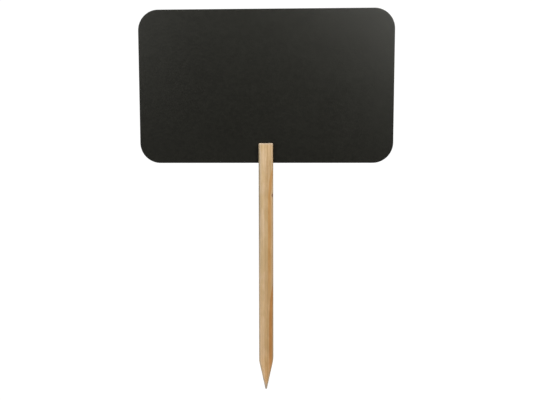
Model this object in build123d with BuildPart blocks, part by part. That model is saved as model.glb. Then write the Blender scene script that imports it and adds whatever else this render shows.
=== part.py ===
from build123d import *
import os

# A writing-board plant label on a pointed wooden stake.
#
# A thin board with round corners stands in a saw slot across the top of a square
# softwood stake. The slot's two cheeks grip the board's lower edge, one cheek in front
# and one behind, with no screw, nail or bracket, so the board lifts straight out.
# The board is a hard fibre core with a smooth matt black sheet bonded to each side.
#
# Millimetres. The origin is the tip of the stake. X runs along the board, Y from its
# front to its back, and Z up the stake.

# Writing board, the same on both sides
board_width = 200.0
board_height = 119.5
board_corner_radius = 16.0
core_thickness = 2.2
sheet_thickness = 0.4
sheet_rim_radius = 0.2

# Square stake with eased arrises, a two-sided point and a broken top end
stake_side = 11.3
stake_length = 199.0
arris_radius = 0.6
end_chamfer = 0.3
point_length = 23.5
tip_width = 1.2

# Saw slot across the stake's top end, and the play on each face of the board in it
slot_depth = 15.6
slot_clearance = 0.05

# How far every cut runs past the wood
cut_overrun = 2.0

# The largest share of a wall that a rounding or a chamfer takes
rounding_share = 0.8

board_thickness = core_thickness + 2 * sheet_thickness
slot_width = board_thickness + 2 * slot_clearance
slot_floor_height = stake_length - slot_depth
cheek_thickness = (stake_side - slot_width) / 2
board_centre_height = slot_floor_height + board_height / 2

corner_rounding = min(board_corner_radius, rounding_share * board_height / 2)
rim_rounding = min(sheet_rim_radius, rounding_share * sheet_thickness)
arris_rounding = min(arris_radius, rounding_share * cheek_thickness)
end_break = min(end_chamfer, rounding_share * arris_rounding)

# The plane through the middle of the board's core, and the one on the core's front face
core_middle = Plane(origin=(0, 0, board_centre_height), x_dir=(1, 0, 0), z_dir=(0, -1, 0))
core_front = core_middle.offset(core_thickness / 2)


# Stake: a planed square stick, then the point's left and right slopes, then the slot
with BuildPart() as stake:
    with BuildSketch(Plane.XY):
        Rectangle(stake_side, stake_side)
    extrude(amount=stake_length)
    fillet(stake.edges().filter_by(Axis.Z), radius=arris_rounding)
    chamfer(stake.faces().sort_by(Axis.Z)[-1].edges(), length=end_break)
    with BuildSketch(Plane.XZ):
        with BuildLine():
            Polyline(
                (tip_width / 2, 0),
                (stake_side / 2, point_length),
                (stake_side / 2 + cut_overrun, point_length),
                (stake_side / 2 + cut_overrun, -cut_overrun),
                (tip_width / 2, -cut_overrun),
                close=True,
            )
        make_face()
        mirror(about=Plane.YZ)
    extrude(amount=stake_side / 2 + cut_overrun, both=True, mode=Mode.SUBTRACT)
    with BuildSketch(Plane.XY.offset(slot_floor_height)):
        Rectangle(stake_side + 2 * cut_overrun, slot_width)
    extrude(amount=slot_depth + cut_overrun, mode=Mode.SUBTRACT)
stake.part.label = "stake"


# Board core: the hard fibre panel, with its edge painted black
with BuildPart() as board_core:
    with BuildSketch(core_middle):
        RectangleRounded(board_width, board_height, corner_rounding)
    extrude(amount=core_thickness / 2, both=True)
board_core.part.label = "board_core"


# Front writing sheet, with its outer rim eased
with BuildPart() as front_writing_sheet:
    with BuildSketch(core_front):
        RectangleRounded(board_width, board_height, corner_rounding)
    extrude(amount=sheet_thickness)
    fillet(front_writing_sheet.faces().sort_by(Axis.Y)[0].edges(), radius=rim_rounding)
front_writing_sheet.part.label = "front_writing_sheet"


# Back writing sheet: the front one again, on the core's other side
with BuildPart() as back_writing_sheet:
    mirror(front_writing_sheet.part, about=Plane.XZ)
back_writing_sheet.part.label = "back_writing_sheet"


os.makedirs("parts", exist_ok=True)
export_step(stake.part, "parts/stake.step")
export_step(board_core.part, "parts/board_core.step")
export_step(front_writing_sheet.part, "parts/front_writing_sheet.step")
export_step(back_writing_sheet.part, "parts/back_writing_sheet.step")
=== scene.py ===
import math

import bmesh
import bpy
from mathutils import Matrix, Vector, noise


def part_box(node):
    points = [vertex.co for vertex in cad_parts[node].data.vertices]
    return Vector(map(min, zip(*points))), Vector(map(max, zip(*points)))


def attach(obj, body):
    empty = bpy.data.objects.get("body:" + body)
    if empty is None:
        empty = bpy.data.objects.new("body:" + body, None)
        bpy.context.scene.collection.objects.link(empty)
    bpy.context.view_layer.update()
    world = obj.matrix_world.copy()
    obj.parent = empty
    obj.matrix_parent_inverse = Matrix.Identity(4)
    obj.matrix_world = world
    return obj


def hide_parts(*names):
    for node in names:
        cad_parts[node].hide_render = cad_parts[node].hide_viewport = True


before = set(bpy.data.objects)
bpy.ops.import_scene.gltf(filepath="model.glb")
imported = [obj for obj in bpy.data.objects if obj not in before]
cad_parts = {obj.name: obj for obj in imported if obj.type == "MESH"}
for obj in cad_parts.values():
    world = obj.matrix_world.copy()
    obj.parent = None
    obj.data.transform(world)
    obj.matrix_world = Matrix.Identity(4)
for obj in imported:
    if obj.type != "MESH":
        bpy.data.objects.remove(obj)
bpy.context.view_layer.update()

# A plant label: a matt black writing board in the slotted top of a pointed pine stake.
# Metres. The stake's tip is the origin, X runs along the board, Y to the back, Z up.

MM = 0.001
TOLERANCE = 0.01 * MM

# Sizes that the frame gives
half_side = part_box("stake")[1].x
stake_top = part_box("stake")[1].z
slot_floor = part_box("board_core")[0].z
stake_corners = [v.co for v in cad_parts["stake"].data.vertices]
slot_half = min(abs(co.y) for co in stake_corners if co.z > slot_floor + MM)
tip_half = max(co.x for co in stake_corners if co.z < TOLERANCE)
shoulder = min(co.z for co in stake_corners if co.x > half_side - TOLERANCE)

# A colour Mix node's sockets: its factor, its two colours and its result
MIX_FACTOR, MIX_A, MIX_B, MIX_RESULT = 0, 6, 7, 2

# The curve between a colour as a screen shows it and a linear one
SCREEN_OFFSET, SCREEN_POWER = 0.055, 2.4


class Graph:
    """A shader node tree that grows by one call for each node."""

    def __init__(self, owner):
        owner.use_nodes = True
        self.tree = owner.node_tree
        self.tree.nodes.clear()

    def node(self, kind, inputs, settings):
        """Adds a node. An input is a value, or another node's output."""
        made = self.tree.nodes.new("ShaderNode" + kind)
        for name, value in settings.items():
            setattr(made, name, value)
        for socket, value in inputs.items():
            if isinstance(value, bpy.types.NodeSocket):
                self.tree.links.new(value, made.inputs[socket])
            else:
                made.inputs[socket].default_value = value
        return made

    def add(self, kind, inputs, output=0, **settings):
        """Adds a node and returns one of its outputs."""
        return self.node(kind, inputs, settings).outputs[output]

    def end(self, kind, shader):
        """Ends the tree with its output node."""
        self.node(kind, {"Surface": shader}, {})

    def math(self, operation, a, b=0.0):
        """One step of arithmetic on two values, or on one."""
        return self.add("Math", {0: a, 1: b}, operation=operation)

    def total(self, first, *others):
        """The values added up."""
        for other in others:
            first = self.math("ADD", first, other)
        return first

    def product(self, first, *others):
        """The values multiplied."""
        for other in others:
            first = self.math("MULTIPLY", first, other)
        return first

    def scaled(self, vector, scale):
        """The vector times one scale for each axis."""
        return self.add("VectorMath", {0: vector, 1: scale}, operation="MULTIPLY")

    def distance(self, place, centre, scale):
        """The distance from a centre, with one scale for each axis."""
        apart = self.add("VectorMath", {0: place, 1: centre}, operation="SUBTRACT")
        inputs = {0: self.scaled(apart, scale)}
        return self.add("VectorMath", inputs, output="Value", operation="LENGTH")

    def split(self, vector):
        """The three parts of a vector."""
        return self.node("SeparateXYZ", {0: vector}, {}).outputs

    def noise(self, place, scale, detail=2.0):
        """Noise from 0 to 1, with one scale for each axis: its waves to a millimetre."""
        inputs = {"Vector": self.scaled(place, scale), "Scale": 1.0, "Detail": detail}
        return self.add("TexNoise", inputs)

    def pattern(self, place, values):
        """The noise that a pattern's values ask for."""
        return self.noise(place, values["scale"], values["detail"])

    def signed_noise(self, place, scale, size):
        """Noise about 0, which reaches roughly plus and minus the size."""
        centred = self.math("SUBTRACT", self.noise(place, scale), 0.5)
        return self.product(centred, 2 * size)

    def ramp(self, value, start, end, low=0.0, high=1.0):
        """low before start and high after end, with a straight ramp between them."""
        inputs = {"Value": value, "From Min": start, "From Max": end}
        return self.add("MapRange", {**inputs, "To Min": low, "To Max": high})

    def spread(self, value, low, high):
        """A value from 0 to 1 turned into one from low to high."""
        return self.ramp(value, 0.0, 1.0, low, high)

    def rise(self, value, start, end):
        """0 before start and 1 after end, with an eased rise between them."""
        inputs = {"Value": value, "From Min": start, "From Max": end}
        return self.add("MapRange", inputs, interpolation_type="SMOOTHSTEP")

    def fall(self, value, start, end):
        """1 before start and 0 after end, with an eased fall between them."""
        return self.math("SUBTRACT", 1.0, self.rise(value, start, end))

    def mix(self, factor, a, b, blend="MIX"):
        """Colour a turned into colour b by the factor."""
        inputs = {MIX_FACTOR: factor, MIX_A: a, MIX_B: b}
        return self.add("Mix", inputs, output=MIX_RESULT, data_type="RGBA", blend_type=blend)

    def tint(self, factor, base, by):
        """The base colour multiplied by another one, as strongly as the factor says."""
        return self.mix(factor, base, by, "MULTIPLY")

    def bump(self, height, strength, depth):
        """The normal of a surface whose height of 1 stands up by the depth."""
        return self.add("Bump", {"Height": height, "Strength": strength, "Distance": depth})

    def millimetres(self):
        """The place on the part as it is at rest, in millimetres."""
        place = self.add("TexCoord", {}, output="Object")
        return self.add("VectorMath", {0: place, "Scale": 1 / MM}, operation="SCALE")


def new_graph(name):
    """A new material and its empty tree."""
    made = bpy.data.materials.new(name)
    return made, Graph(made)


def surface(g, inputs):
    """Ends a material's tree with its shader."""
    g.end("OutputMaterial", g.add("BsdfPrincipled", inputs))


def colour(red, green, blue):
    """A linear colour from one as a screen shows it, with values from 0 to 255."""
    shown = [value / 255 for value in (red, green, blue)]
    return (*(((s + SCREEN_OFFSET) / (1 + SCREEN_OFFSET)) ** SCREEN_POWER for s in shown), 1.0)


def grey(level):
    return (level, level, level, 1.0)


# Lengths in a material are in millimetres, apart from the depth of its bump. A colour
# named left is what a mark or a pattern leaves of the colour below it.

# Pine: its pith is off to the stake's right, so that the growth rings cross its front as
# upright lines. Going away from the pith, a ring's late wood starts and is full at two
# shares of its width, and ends at its edge. It is fainter in some rings than in others.
PITH = (40.0, 9.0, 0.0)
ACROSS_GRAIN = (1.0, 1.0, 0.0)
RING_WIDTH = 2.1
LATE_START_SHARE, LATE_FULL_SHARE = 0.2, 0.86
FAINTEST_RING, STRONGEST_RING = 0.25, 1.0
EARLY_WOOD = colour(215, 186, 147)
LATE_WOOD = colour(201, 170, 128)

# The rings' wander: the scale and the size of a slow noise and of a quick one
SLOW_WANDER = (0.03, 0.03, 0.012), 0.3
QUICK_WANDER = (0.3, 0.3, 0.04), 0.15

# The grain's patterns, each with the two values that its tint rises between
GRAIN = {
    "fibre": {
        "scale": (4.0, 4.0, 0.13), "detail": 4.0, "between": (0.38, 0.7), "left": grey(0.87),
    },
    "hair": {
        "scale": (13.0, 13.0, 0.3), "detail": 2.0, "between": (0.45, 0.7), "left": grey(0.92),
    },
    "thread": {
        "scale": (34.0, 34.0, 0.8), "detail": 2.0, "between": (0.45, 0.65), "left": grey(0.93),
    },
    "streak": {
        "scale": (1.1, 1.1, 0.02), "detail": 2.0, "between": (0.4, 0.7),
        "left": (0.96, 0.93, 0.90, 1.0),
    },
    "mottle": {
        "scale": (0.25, 0.25, 0.09), "detail": 5.0, "between": (0.4, 0.6),
        "left": (0.92, 0.90, 0.81, 1.0),
    },
}

# Resin canals: their scale, the shares of their spacing where one starts to fade and
# where it ends, and their strength
CANAL_SCALE = (0.9, 0.9, 0.06)
CANAL_FADE_SHARES = (0.05, 0.14)
CANAL_STRENGTH = 0.7
CANAL = (0.62, 0.50, 0.38, 1.0)

# Marked rings, stains and lines, which all follow the rings. out is how far the outer
# edge is from the pith, and that edge moves in by bend over the heights of climb. deep is
# the depth towards the pith and fade how softly it ends. foot and head are the heights
# where the colour fades out.
STRAIGHT = {"bend": 0.0, "climb": (0.0, 1.0)}
DARKER_WOOD = {
    "out": 43.5, "bend": 1.6, "climb": (130.0, 190.0), "deep": 9.0, "fade": 1.2,
    "foot": -99.0, "head": 202.0, "left": (0.86, 0.81, 0.72, 1.0),
}
UPPER_STAIN = {
    "out": 40.95, "bend": 3.4, "climb": (140.0, 180.0), "deep": 2.5, "fade": 1.2,
    "foot": 80.0, "head": 230.0, "left": (0.96, 0.77, 0.52, 1.0),
}
LOWER_STAIN = {
    "out": 40.2, "bend": 2.8, "climb": (40.0, 86.0), "deep": 2.6, "fade": 1.2,
    "foot": 8.0, "head": 150.0, "left": (0.85, 0.60, 0.34, 1.0),
}
TOP_LINE = {
    **STRAIGHT, "out": 39.5, "deep": 1.0, "fade": 0.5,
    "foot": 150.0, "head": 230.0, "left": (0.92, 0.89, 0.82, 1.0),
}
# Painted shade: a grey-olive darkening along the stake's left arris and left side, below the
# board, where that edge turns away from the light.
LEFT_EDGE_SHADE = {
    **STRAIGHT, "out": 49.5, "deep": 2.5, "fade": 0.6,
    "foot": 125.0, "head": 205.0, "left": (0.67, 0.68, 0.63, 1.0),
}
# Painted shade: a faint bluish-grey darkening on the front, just inside the stake's left arris.
LEFT_ARRIS_SHADE = {
    **STRAIGHT, "out": 47.5, "deep": 1.5, "fade": 0.5,
    "foot": 95.0, "head": 195.0, "left": (0.86, 0.89, 0.96, 1.0),
}
PALE_LINE = {
    **STRAIGHT, "out": 41.95, "deep": 0.9, "fade": 0.3,
    "foot": 100.0, "head": 150.0, "left": (1.09, 1.16, 1.20, 1.0),
}
POINT_STAIN = {
    **STRAIGHT, "out": 43.4, "deep": 2.6, "fade": 1.2,
    "foot": -99.0, "head": 14.0, "left": (1.07, 0.97, 0.84, 1.0),
}
# Of these, the two along the stake's left edge are painted shade; the rest are the wood's own
# stains and lines.
STAINS_LINES_AND_SHADE = (UPPER_STAIN, LOWER_STAIN, TOP_LINE, LEFT_EDGE_SHADE, LEFT_ARRIS_SHADE, PALE_LINE, POINT_STAIN)
BEND_POWER = 4.0
OUTER_EDGE_FADE = 0.18
END_FADE = 25.0

# Wood that is paler by its height: the lower half, and the cut point below its shoulder
PALE_BETWEEN = (50.0, 120.0)
PALE_WOOD = (1.09, 1.05, 1.02, 1.0)
POINT_BETWEEN = (20.0, 34.0)
POINT_WOOD = (1.13, 1.11, 1.11, 1.0)

# Arrises: how far inside the faces their wear starts and is full, and its strengths
WORN_FROM, WORN_FULL = 1.6, 0.4
WEAR_STRENGTHS = (0.6, 0.95)
WORN_WOOD = colour(183, 162, 134)

# The top's edge, paler with fuzz and with a painted highlight where it catches the light from
# above, and the point's bruised end, whose bruise creeps up the wood
FUZZ_AND_HIGHLIGHT_DEEP, FUZZ_AND_HIGHLIGHT_STRENGTH = 1.8, 0.7
FUZZ_AND_HIGHLIGHT = colour(190, 173, 155)
BRUISED_BETWEEN = (1.5, 7.0)
BRUISE_CREEP = (2.0, 2.0, 0.1), 3.0
BRUISE_STRENGTHS = (0.5, 0.9)
BRUISE = colour(178, 166, 152)

# A pin knot on the right arris: its radii, its unevenness, and how it pushes the rings
KNOT_PLACE = (5.5, -5.5, 158.0)
KNOT_STRETCH = (1.0, 1.0, 0.7)
KNOT_UNEVEN = (1.6, 1.6, 1.6), 0.25
KNOT_RADIUS, KNOT_HEART_RADIUS, KNOT_HEART_FULL = 1.15, 0.7, 0.35
KNOT_HEART, KNOT_RIM = colour(128, 88, 54), colour(88, 60, 40)
KNOT_REACH, KNOT_PUSH = 4.0, 0.8

# End grain: how far a face looks up or down where it shows, its rings and its pores
ENDWISE_BETWEEN = (0.6, 0.9)
END_GRAIN = (0.82, 0.74, 0.64, 1.0)
END_RINGS = (0.74, 0.60, 0.46, 1.0)
PORE_SCALE, PORES_BETWEEN = (7.0, 7.0, 7.0), (0.45, 0.65)
END_PORES = (0.80, 0.72, 0.62, 1.0)

# Pine's bump, as a strength and a depth, what stands up in it, and pine's gloss
PINE_BUMP = 0.5, 0.04 * MM
LATE_WOOD_HEIGHT, HAIR_HEIGHT = 0.5, 0.5
PINE_ROUGHNESS = (0.55, 0.75)
PINE_SPECULAR = 0.35


def knot_distance(g, place):
    """The distance from the pin knot, which is uneven and a little longer up the stake."""
    even = g.distance(place, KNOT_PLACE, KNOT_STRETCH)
    return g.total(even, g.signed_noise(place, *KNOT_UNEVEN))


def pith_distance(g, place, to_knot):
    """The distance from the pith, with the rings' wander and their bend round the knot."""
    radius = g.distance(place, PITH, ACROSS_GRAIN)
    slow = g.signed_noise(place, *SLOW_WANDER)
    quick = g.signed_noise(place, *QUICK_WANDER)
    push = g.product(g.fall(to_knot, 0.0, KNOT_REACH), KNOT_PUSH)
    return g.math("SUBTRACT", g.total(radius, slow, quick), push)


def late_wood(g, radius):
    """0 in a ring's early wood, up to 1 in its late wood, and stronger in some rings."""
    phase = g.math("DIVIDE", radius, RING_WIDTH)
    through = g.math("FRACT", phase)
    grows = g.rise(through, LATE_START_SHARE, LATE_FULL_SHARE)
    late = g.product(grows, g.fall(through, LATE_FULL_SHARE, 1.0))
    ring = g.add("TexWhiteNoise", {"W": g.math("FLOOR", phase)}, noise_dimensions="1D")
    return g.product(late, g.spread(ring, FAINTEST_RING, STRONGEST_RING))


def marked(g, radius, z, mark):
    """1 in a mark, fading towards the pith and out at its foot and its head."""
    bend = g.product(g.math("POWER", g.ramp(z, *mark["climb"]), BEND_POWER), mark["bend"])
    inward = g.math("SUBTRACT", g.math("SUBTRACT", mark["out"], bend), radius)
    starts = g.rise(inward, -OUTER_EDGE_FADE, OUTER_EDGE_FADE)
    ends = g.fall(inward, mark["deep"] - mark["fade"], mark["deep"] + mark["fade"])
    foot = g.rise(z, mark["foot"] - END_FADE, mark["foot"] + END_FADE)
    head = g.fall(z, mark["head"] - END_FADE, mark["head"] + END_FADE)
    return g.product(starts, ends, foot, head)


def resin_canals(g, place):
    """1 in the thin dark lines of cut resin canals."""
    inputs = {"Vector": g.scaled(place, CANAL_SCALE), "Scale": 1.0}
    return g.fall(g.add("TexVoronoi", inputs, output="Distance"), *CANAL_FADE_SHARES)


def near_arris(g, place):
    """1 on the arrises of the shank and the point, and 0 away from them."""
    x, y, z = g.split(place)
    narrower = g.ramp(z, 0.0, shoulder / MM, (half_side - tip_half) / MM, 0.0)
    out_x = g.total(g.math("ABSOLUTE", x), narrower)
    nearest = g.math("MINIMUM", out_x, g.math("ABSOLUTE", y))
    return g.rise(nearest, half_side / MM - WORN_FROM, half_side / MM - WORN_FULL)


def clean_wood(g, z, radius, late, grain):
    """The wood's colour from its rings, its grain and its height."""
    base = g.mix(late, EARLY_WOOD, LATE_WOOD)
    for name, values in GRAIN.items():
        base = g.tint(g.rise(grain[name], *values["between"]), base, values["left"])
    base = g.tint(marked(g, radius, z, DARKER_WOOD), base, DARKER_WOOD["left"])
    base = g.tint(g.fall(z, *PALE_BETWEEN), base, PALE_WOOD)
    return g.tint(g.fall(z, *POINT_BETWEEN), base, POINT_WOOD)


def handled_ends(g, place, z, fibre, base):
    """The colour with the top's edge paler from fuzz and a painted highlight, and the point's
    bruised end.
    """
    # Painted highlight: the wood just under the top is mixed towards a pale grey-white, as where
    # the top edge catches the light. It stands for fuzz as well.
    fuzz_and_highlight = g.rise(z, stake_top / MM - FUZZ_AND_HIGHLIGHT_DEEP, stake_top / MM)
    base = g.mix(g.product(fuzz_and_highlight, FUZZ_AND_HIGHLIGHT_STRENGTH), base, FUZZ_AND_HIGHLIGHT)
    crept = g.total(z, g.signed_noise(place, *BRUISE_CREEP))
    bruised = g.fall(crept, *BRUISED_BETWEEN)
    return g.mix(g.product(bruised, g.spread(fibre, *BRUISE_STRENGTHS)), base, BRUISE)


def end_grain(g, place, late, base):
    """The colour with the rings and pores of the faces that look up or down."""
    facing = g.split(g.add("TexCoord", {}, output="Normal"))
    endwise = g.rise(g.math("ABSOLUTE", facing[2]), *ENDWISE_BETWEEN)
    pores = g.rise(g.noise(place, PORE_SCALE), *PORES_BETWEEN)
    base = g.tint(endwise, base, END_GRAIN)
    base = g.tint(g.product(endwise, late), base, END_RINGS)
    return g.tint(g.product(endwise, pores), base, END_PORES)


def pine_material():
    material, g = new_graph("pine")
    place = g.millimetres()
    z = g.split(place)[2]
    to_knot = knot_distance(g, place)
    radius = pith_distance(g, place, to_knot)
    late = late_wood(g, radius)
    grain = {name: g.pattern(place, values) for name, values in GRAIN.items()}
    canal = resin_canals(g, place)

    base = clean_wood(g, z, radius, late, grain)
    worn = g.product(near_arris(g, place), g.spread(grain["streak"], *WEAR_STRENGTHS))
    base = g.mix(worn, base, WORN_WOOD)
    # Tints the wood with its stains and lines, and with painted shade along the stake's left edge.
    for marking in STAINS_LINES_AND_SHADE:
        base = g.tint(marked(g, radius, z, marking), base, marking["left"])
    base = handled_ends(g, place, z, grain["fibre"], base)
    base = g.tint(g.product(canal, CANAL_STRENGTH), base, CANAL)
    base = g.mix(g.fall(to_knot, KNOT_HEART_RADIUS, KNOT_RADIUS), base, KNOT_RIM)
    base = g.mix(g.fall(to_knot, KNOT_HEART_FULL, KNOT_HEART_RADIUS), base, KNOT_HEART)
    base = end_grain(g, place, late, base)

    hairs = g.product(grain["hair"], HAIR_HEIGHT)
    height = g.total(g.product(late, LATE_WOOD_HEIGHT), grain["fibre"], hairs)
    surface(g, {
        "Base Color": base,
        "Roughness": g.spread(grain["fibre"], *PINE_ROUGHNESS),
        "Normal": g.bump(g.math("SUBTRACT", height, canal), *PINE_BUMP),
        "Specular IOR Level": PINE_SPECULAR,
    })
    return material


# Writing surface: an almost black coat with slow clouds, the unevenness that a roller
# leaves and a fine tooth. Its gloss is a little yellow.
CLOUD = {"scale": (0.03, 0.03, 0.04), "detail": 3.0}
ROLLED = {
    "scale": (0.4, 0.4, 0.7), "detail": 3.0, "between": (0.35, 0.65), "left": grey(0.75),
}
TOOTH = {
    "scale": (5.0, 5.0, 5.0), "detail": 3.0, "between": (0.35, 0.65), "left": grey(0.6),
}
COATS = (0.0050, 0.0047, 0.0021, 1.0), (0.0061, 0.0057, 0.0030, 1.0)
COAT_ROUGHNESS = (0.30, 0.33)
ROLLED_ROUGHNESS = 0.09
ROLLED_HEIGHT = 3.0
COAT_BUMP = 0.35, 0.02 * MM
WARM_GLOSS = (0.99, 0.99, 0.92, 1.0)


def writing_surface_material():
    material, g = new_graph("writing_surface")
    place = g.millimetres()
    cloud, rolled, tooth = (g.pattern(place, values) for values in (CLOUD, ROLLED, TOOTH))
    base = g.mix(cloud, *COATS)
    base = g.tint(g.fall(rolled, *ROLLED["between"]), base, ROLLED["left"])
    base = g.tint(g.rise(tooth, *TOOTH["between"]), base, TOOTH["left"])
    rougher = g.product(rolled, ROLLED_ROUGHNESS)
    height = g.total(tooth, g.product(rolled, ROLLED_HEIGHT))
    surface(g, {
        "Base Color": base,
        "Roughness": g.total(g.spread(cloud, *COAT_ROUGHNESS), rougher),
        "Normal": g.bump(height, *COAT_BUMP),
        "Specular Tint": WARM_GLOSS,
    })
    return material


# Painted edge: black paint over the felted fibres of a cut panel
FELT = {"scale": (3.0, 9.0, 3.0), "detail": 4.0}
PAINTS = colour(24, 24, 21), colour(36, 36, 32)
PAINT_ROUGHNESS = (0.45, 0.8)
PAINT_BUMP = 0.8, 0.08 * MM


def painted_edge_material():
    material, g = new_graph("painted_edge")
    felt = g.pattern(g.millimetres(), FELT)
    surface(g, {
        "Base Color": g.mix(felt, *PAINTS),
        "Roughness": g.spread(felt, *PAINT_ROUGHNESS),
        "Normal": g.bump(felt, *PAINT_BUMP),
    })
    return material


# Faces of a piece that meet at more than this angle meet in a sharp edge
SHARP = math.radians(50)


def piece(name, mesh, material, body, node):
    """Ends a mesh as a piece that rides on a body and stands for a CAD node."""
    bmesh.ops.recalc_face_normals(mesh, faces=mesh.faces)
    data = bpy.data.meshes.new(name)
    mesh.to_mesh(data)
    mesh.free()
    data.shade_smooth()
    data.set_sharp_from_angle(angle=SHARP)
    data.materials.append(material)
    made = bpy.data.objects.new(name, data)
    bpy.context.scene.collection.objects.link(made)
    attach(made, body)
    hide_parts(node)


def bridge(mesh, low, high):
    """Joins two closed loops with faces."""
    for i in range(len(low)):
        mesh.faces.new((low[i - 1], low[i], high[i], high[i - 1]))


def steps(low, high, gap):
    """Values from low to high, evenly spaced by about the gap."""
    count = max(1, round((high - low) / gap))
    return [low + (high - low) * i / count for i in range(count + 1)]


def rounding(radius, faces):
    """Places round the quarter circle at an edge: how far short of it, and how far in."""
    turns = [math.radians(90 * i / faces) for i in range(faces + 1)]
    return [(radius * (1 - math.sin(turn)), radius * (1 - math.cos(turn))) for turn in turns]


def positive(value):
    """A value from -1 to 1 turned into one from 0 to 1."""
    return 0.5 + 0.5 * value


# Stake mesh: the faces along each stretch of its outline, and the gap between its loops
MOUTH_FACES = 6
SIDE_FACES = 9
ARRIS_FACES = 6
FRONT_FACES = 26
CAP_RINGS = 6
LOOP_GAP = 0.8 * MM

# Roundings of the shank's arrises, of the point's arrises, and of the two ends
ARRIS = 0.6 * MM
POINT_ARRIS = 0.2 * MM
ARRIS_CHANGE = 2.0 * MM
TIP_BREAK = 0.15 * MM
TOP_BREAK, TOP_BREAK_FACES = 0.3 * MM, 4

# Relief of the planed wood, its worn arrises and the sawn slopes, all of it inward. A
# scale is a noise's waves to a millimetre along each axis. A face of the point is part
# of a slope where its normal reaches further to a side than SLOPE_FACING.
FIBRE_RELIEF, FIBRE_SCALE = 0.03 * MM, (1.1, 1.1, 0.04)
PLANER_RELIEF, PLANER_PITCH = 0.012 * MM, 5.0 * MM
ARRIS_WEAR, WEAR_SCALE = 0.12 * MM, (1.0, 1.0, 0.15)
SLOPE_RELIEF, SLOPE_SCALE = 0.04 * MM, (0.3, 0.3, 0.3)
SLOPE_PITCH, SAW_SLANT = 1.3 * MM, 0.3
SLOPE_FACING = 0.5

# Dents: place, radius and depth
DENTS = (
    (Vector((5.65, -5.5, 158.0)) * MM, 0.9 * MM, 0.22 * MM),
    (Vector((-5.5, -5.6, 34.5)) * MM, 1.0 * MM, 0.25 * MM),
    (Vector((-5.4, -5.6, 182.5)) * MM, 0.8 * MM, 0.18 * MM),
)


def rough(place, scale):
    """Noise from 0 to 1 at a place in millimetres, with one scale for each axis."""
    return positive(noise.noise([part * by for part, by in zip(place, scale)]))


def relief(place, normal):
    """How far the worked wood lies under its true face."""
    at = place / MM
    planed = math.sin(math.tau * place.z / PLANER_PITCH + at.x + at.y)
    on_arris = 2 * abs(normal.x * normal.y)
    depth = FIBRE_RELIEF * rough(at, FIBRE_SCALE)
    depth += PLANER_RELIEF * positive(planed)
    depth += ARRIS_WEAR * on_arris * rough(at, WEAR_SCALE)
    if place.z < shoulder and abs(normal.x) > SLOPE_FACING:
        sawn = math.sin(math.tau * place.z / SLOPE_PITCH + SAW_SLANT * at.y)
        depth += SLOPE_RELIEF * (positive(sawn) + rough(at, SLOPE_SCALE)) / 2
    for centre, reach, deep in DENTS:
        near = max(0.0, 1 - ((place - centre).length / reach) ** 2)
        depth += deep * near * near
    return depth


def flat(start, end, faces, normal):
    """Places with their normal along a straight stretch of outline, without its end."""
    start, end = Vector((*start, 0)), Vector((*end, 0))
    return [(start.lerp(end, i / faces), Vector((*normal, 0))) for i in range(faces)]


def corner(centre, radius, start):
    """A quarter round of outline, turning clockwise from the start angle, without its end."""
    points = []
    for i in range(ARRIS_FACES):
        angle = math.radians(start - 90 * i / ARRIS_FACES)
        normal = Vector((math.cos(angle), math.sin(angle), 0))
        points.append((Vector((*centre, 0)) + normal * radius, normal))
    return points


def half_outline(half_x, half_y, radius, mouth):
    """The outline from the slot's right mouth round the front to its left mouth."""
    flat_x, flat_y = half_x - radius, half_y - radius
    points = flat((half_x, -mouth), (half_x, -flat_y), SIDE_FACES, (1, 0))
    points += corner((flat_x, -flat_y), radius, 0)
    points += flat((flat_x, -half_y), (-flat_x, -half_y), FRONT_FACES, (0, -1))
    points += corner((-flat_x, -flat_y), radius, -90)
    points += flat((-half_x, -flat_y), (-half_x, -mouth), SIDE_FACES, (-1, 0))
    points.append((Vector((-half_x, -mouth, 0)), Vector((-1, 0, 0))))
    return points


def turned(points):
    """The points turned half round the stake's axis."""
    return [(Vector((-p.x, -p.y, p.z)), Vector((-n.x, -n.y, n.z))) for p, n in points]


def whole_outline(half_x, half_y, radius):
    """The outline all round, from the slot's right mouth on."""
    front = half_outline(half_x, half_y, radius, slot_half)
    left = flat((-half_x, -slot_half), (-half_x, slot_half), MOUTH_FACES, (-1, 0))[1:]
    return front + left + turned(front) + turned(left)


def section(height):
    """The outline's half sizes and arris radius at a height."""
    up = min(height / shoulder, 1)
    half_x = tip_half + (half_side - tip_half) * up
    blunt = max(0.0, TIP_BREAK - height)
    full = min(max((height - shoulder + ARRIS_CHANGE) / ARRIS_CHANGE, 0), 1)
    return half_x - blunt, half_side - blunt, POINT_ARRIS + (ARRIS - POINT_ARRIS) * full


def place_loop(mesh, points, height):
    """Makes the outline's vertices at a height, each sunk by its relief."""
    made = []
    for point, normal in points:
        at = Vector((point.x, point.y, height))
        made.append(mesh.verts.new(at - normal * relief(at, normal)))
    return made


def cap(mesh, loop):
    """Closes a loop with smaller and smaller ones and a fan."""
    centre = sum((v.co for v in loop), Vector()) / len(loop)
    for ring in range(1, CAP_RINGS):
        inner = [mesh.verts.new(v.co.lerp(centre, 1 / (CAP_RINGS - ring + 1))) for v in loop]
        bridge(mesh, loop, inner)
        loop = inner
    middle = mesh.verts.new(centre)
    for i in range(len(loop)):
        mesh.faces.new((loop[i - 1], loop[i], middle))


def below_slot(mesh):
    """The stake from its tip to the slot's floor. It returns the loop round the floor."""
    loop = place_loop(mesh, whole_outline(*section(0.0)), 0.0)
    cap(mesh, loop)
    heights = steps(TIP_BREAK, shoulder, LOOP_GAP)
    heights += steps(shoulder, slot_floor, LOOP_GAP)[1:]
    for height in heights:
        upper = place_loop(mesh, whole_outline(*section(height)), height)
        bridge(mesh, loop, upper)
        loop = upper
    return loop


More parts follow.
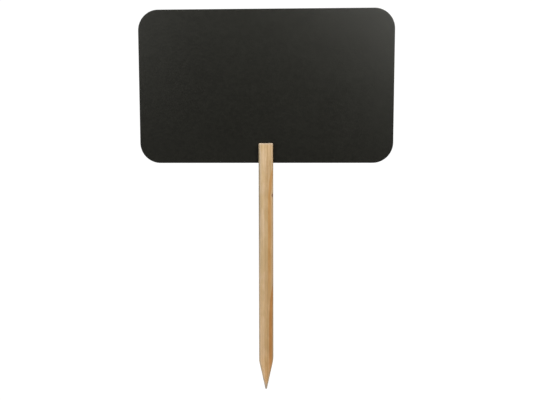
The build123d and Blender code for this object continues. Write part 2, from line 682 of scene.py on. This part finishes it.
def slot_row(mesh, left, right):
    """Vertices across the slot's floor between its two mouths, the mouths' own among them."""
    up = Vector((0, 0, 1))
    across = []
    for i in range(1, FRONT_FACES):
        at = left.co.lerp(right.co, i / FRONT_FACES)
        across.append(mesh.verts.new(at - up * relief(at, up)))
    return [left, *across, right]


def cheek(mesh, outer, floor_row, turn):
    """One cheek of the slot, up from its outer side's loop and its row of the floor."""
    loop = outer + floor_row[1:-1]
    stages = [(z, 0.0) for z in steps(slot_floor, stake_top - TOP_BREAK, LOOP_GAP)[1:-1]]
    stages += [(stake_top - short, inset) for short, inset in rounding(TOP_BREAK, TOP_BREAK_FACES)]
    for height, inset in stages:
        half = half_side - inset
        points = half_outline(half, half, ARRIS, slot_half)
        points += flat((-half, -slot_half), (half, -slot_half), FRONT_FACES, (0, 1))[1:]
        upper = place_loop(mesh, turned(points) if turn else points, height)
        bridge(mesh, loop, upper)
        loop = upper
    cap(mesh, loop)


def stake_timber():
    """The stake: one mesh up to the slot's floor, the floor, and a cheek on each side."""
    mesh = bmesh.new()
    loop = below_slot(mesh)
    half = len(loop) // 2
    outer = half - MOUTH_FACES + 1
    front, left = loop[:outer], loop[outer:half]
    rear, right = loop[half:half + outer], loop[half + outer:]
    mouths = [(front[-1], front[0]), *zip(left, reversed(right)), (rear[0], rear[-1])]
    floor = [slot_row(mesh, *mouth) for mouth in mouths]
    for near, far in zip(floor, floor[1:]):
        for i in range(FRONT_FACES):
            mesh.faces.new((near[i], near[i + 1], far[i + 1], far[i]))
    cheek(mesh, front, floor[0], False)
    cheek(mesh, rear, floor[-1][::-1], True)
    piece("stake_timber", mesh, pine_material(), "stake", "stake")


# Board mesh: its corners, its sheets' outer rims, the gap between the points along its
# sides, the flat strip inside a rim, and the gap between the core's loops
CORNER_RADIUS, CORNER_FACES = 16.0 * MM, 28
RIM_RADIUS, RIM_FACES = 0.2 * MM, 4
SIDE_GAP = 1.5 * MM
FLAT_STRIP = 0.5 * MM
CORE_GAP = 0.4 * MM
ROUTED_RELIEF, ROUTED_SCALE = 0.04 * MM, (1.0, 1.0, 1.0)


def board_outline():
    """Places round the board's corners, each with its outward normal."""
    low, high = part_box("board_core")
    right, left = high.x - CORNER_RADIUS, low.x + CORNER_RADIUS
    top, bottom = high.z - CORNER_RADIUS, low.z + CORNER_RADIUS
    centres = ((right, top), (left, top), (left, bottom), (right, bottom))
    points = []
    for quarter, (x, z) in enumerate(centres):
        for i in range(CORNER_FACES + 1):
            angle = math.radians(90 * quarter + 90 * i / CORNER_FACES)
            normal = Vector((math.cos(angle), 0, math.sin(angle)))
            points.append((Vector((x, 0, z)) + normal * CORNER_RADIUS, normal))
    return points


def with_sides(points):
    """The outline with more places along its straight sides."""
    full = []
    for (place, normal), (after, _) in zip(points, points[1:] + points[:1]):
        faces = max(1, round((after - place).length / SIDE_GAP))
        full += [(place.lerp(after, i / faces), normal) for i in range(faces)]
    return full


def slab(stages, depth):
    """A mesh in the board's outline, through loops that each have a Y and an inset."""
    mesh = bmesh.new()
    outline = with_sides(board_outline())
    loops = []
    for y, inset in stages:
        loop = []
        for point, normal in outline:
            at = Vector((point.x, y, point.z)) - normal * inset
            uneven = rough(at / MM, ROUTED_SCALE)
            loop.append(mesh.verts.new(at - normal * depth * uneven))
        loops.append(loop)
    for low, high in zip(loops, loops[1:]):
        bridge(mesh, low, high)
    mesh.faces.new(loops[0])
    mesh.faces.new(loops[-1])
    return mesh


def painted_core():
    """The board's core, whose painted edge shows between the two sheets."""
    low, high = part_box("board_core")
    mesh = slab([(y, 0.0) for y in steps(low.y, high.y, CORE_GAP)], ROUTED_RELIEF)
    piece("painted_core", mesh, painted_edge_material(), "board", "board_core")


def writing_sheet(name, node, glued, outer, material):
    """A sheet from its glued face to its outer one, which has a rounded rim."""
    way = math.copysign(1, outer - glued)
    rim = [(outer - way * short, inset) for short, inset in rounding(RIM_RADIUS, RIM_FACES)]
    mesh = slab([(glued, 0.0), *rim, (outer, RIM_RADIUS + FLAT_STRIP)], 0.0)
    piece(name, mesh, material, "board", node)


def writing_sheets():
    """The two sheets, each glued to one side of the core."""
    material = writing_surface_material()
    front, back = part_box("front_writing_sheet"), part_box("back_writing_sheet")
    writing_sheet("front_sheet", "front_writing_sheet", front[1].y, front[0].y, material)
    writing_sheet("back_sheet", "back_writing_sheet", back[0].y, back[1].y, material)


stake_timber()
painted_core()
writing_sheets()

# Stage: a floor and a room that both look pure white. The floor throws back only some of
# the light. The room gives none from the front, and more the further back it comes from,
# up to REAR_STRENGTH at REAR_FULL, where a direction straight back is 1.
WHITE = grey(1.0)
SEEN_STRENGTH = 1.05
FLOOR_REACH = 6.0
FLOOR_GREY = grey(0.35)
REAR_STRENGTH, REAR_FULL = 1.1, 0.5


def white_floor():
    """The floor, white to the camera and grey to the light."""
    mesh = bpy.data.meshes.new("floor")
    signs = ((-1, -1), (1, -1), (1, 1), (-1, 1))
    corners = [(x * FLOOR_REACH, y * FLOOR_REACH, 0) for x, y in signs]
    mesh.from_pydata(corners, [], [(0, 1, 2, 3)])
    floor = bpy.data.objects.new("floor", mesh)
    bpy.context.scene.collection.objects.link(floor)
    material, g = new_graph("white_floor")
    seen = g.add("LightPath", {}, output="Is Camera Ray")
    glow = g.add("Emission", {"Color": WHITE, "Strength": SEEN_STRENGTH})
    matt = g.add("BsdfDiffuse", {"Color": FLOOR_GREY})
    g.end("OutputMaterial", g.add("MixShader", {0: seen, 1: matt, 2: glow}))
    mesh.materials.append(material)


def white_room():
    """The room, white to the camera and bright only behind the object."""
    world = bpy.data.worlds.new("room")
    bpy.context.scene.world = world
    g = Graph(world)
    seen = g.add("LightPath", {}, output="Is Camera Ray")
    rearward = g.split(g.add("TexCoord", {}, output="Generated"))[1]
    strength = g.ramp(rearward, 0.0, REAR_FULL, 0.0, REAR_STRENGTH)
    light = g.add("Background", {"Color": WHITE, "Strength": strength})
    shown = g.add("Background", {"Color": WHITE, "Strength": SEEN_STRENGTH})
    g.end("OutputWorld", g.add("MixShader", {0: seen, 1: light, 2: shown}))


# Softboxes: how each one lies from the lit spot, in degrees to the right of the front
# and above level, then its distance, the length of its side, and its power in watts
LIT_SPOT = Vector((0, 0, 0.22))
SOFTBOXES = {
    "left_softbox": (-40, 25, 1.4, 0.7, 9.1),
    "top_softbox": (20, 45, 0.6, 0.3, 2.18),
    "right_softbox": (40, 25, 0.6, 0.3, 1.87),
}


def direction(azimuth, elevation):
    """The way from the object to something at this azimuth and elevation, in degrees."""
    turn, climb = math.radians(azimuth), math.radians(elevation)
    level = math.cos(climb)
    return Vector((math.sin(turn) * level, -math.cos(turn) * level, math.sin(climb)))


def looking_at(name, data, target, azimuth, elevation, distance):
    """An object that lies in a direction from its target and looks back at it."""
    back = direction(azimuth, elevation)
    made = bpy.data.objects.new(name, data)
    made.location = target + back * distance
    made.rotation_euler = (-back).to_track_quat("-Z", "Y").to_euler()
    bpy.context.scene.collection.objects.link(made)
    return made


def softbox(name, azimuth, elevation, distance, side, power):
    """A square light that faces the lit spot."""
    light = bpy.data.lights.new(name, "AREA")
    light.size = side
    light.energy = power
    looking_at(name, light, LIT_SPOT, azimuth, elevation, distance)


# Camera: the photograph's view. Its focal length is in the photograph's pixels, and its
# angles are in degrees.
PHOTO_WIDTH = 533
SENSOR_WIDTH = 36.0
FOCAL_PIXELS = 644.6
CAMERA_DISTANCE = 0.5151
CAMERA_AZIMUTH, CAMERA_ELEVATION = 2.14, 5.5
CAMERA_ROLL = 0.109
LOOK_AT = Vector((0.00036, 0.0, 0.15375))


def photograph_camera():
    data = bpy.data.cameras.new("camera")
    data.sensor_width = SENSOR_WIDTH
    data.lens = FOCAL_PIXELS / PHOTO_WIDTH * SENSOR_WIDTH
    place = (CAMERA_AZIMUTH, CAMERA_ELEVATION, CAMERA_DISTANCE)
    camera = looking_at("camera", data, LOOK_AT, *place)
    camera.rotation_euler.rotate_axis("Z", -math.radians(CAMERA_ROLL))
    bpy.context.scene.camera = camera


white_floor()
white_room()
for name, setting in SOFTBOXES.items():
    softbox(name, *setting)
photograph_camera()
bpy.context.scene.view_settings.view_transform = "Standard"
